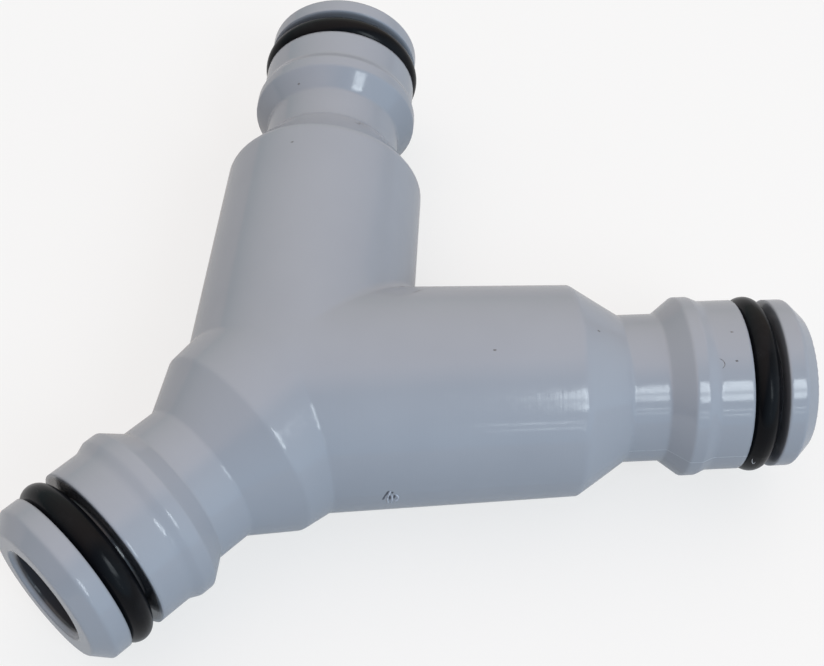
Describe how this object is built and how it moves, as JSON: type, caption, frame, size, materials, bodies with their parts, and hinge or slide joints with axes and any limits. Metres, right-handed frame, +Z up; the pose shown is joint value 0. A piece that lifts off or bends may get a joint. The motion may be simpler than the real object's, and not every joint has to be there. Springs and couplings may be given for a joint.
{
  "type": "tubing y connector",
  "caption": "Moulded Y coupler for garden hose: a short stem and two longer branches, each ending in a click-on spigot with a rubber sealing ring, joined by meeting bores.",
  "frame": {"origin": "centre of the stem's open end face", "axes": "+Y from the stem's mouth into the fitting and on between the branches, +Z up, square to the plane of the three bores, +X towards the right branch"},
  "size_m": [0.0724, 0.069, 0.0212],
  "materials": {
    "body_plastic": "moulded, softly glossy",
    "seal_rubber": "satin black rubber"
  },
  "bodies": {
    "root": {"y_body": "body_plastic", "o_ring_left": "seal_rubber", "o_ring_right": "seal_rubber", "o_ring_stem": "seal_rubber"}
  },
  "joints": []
}
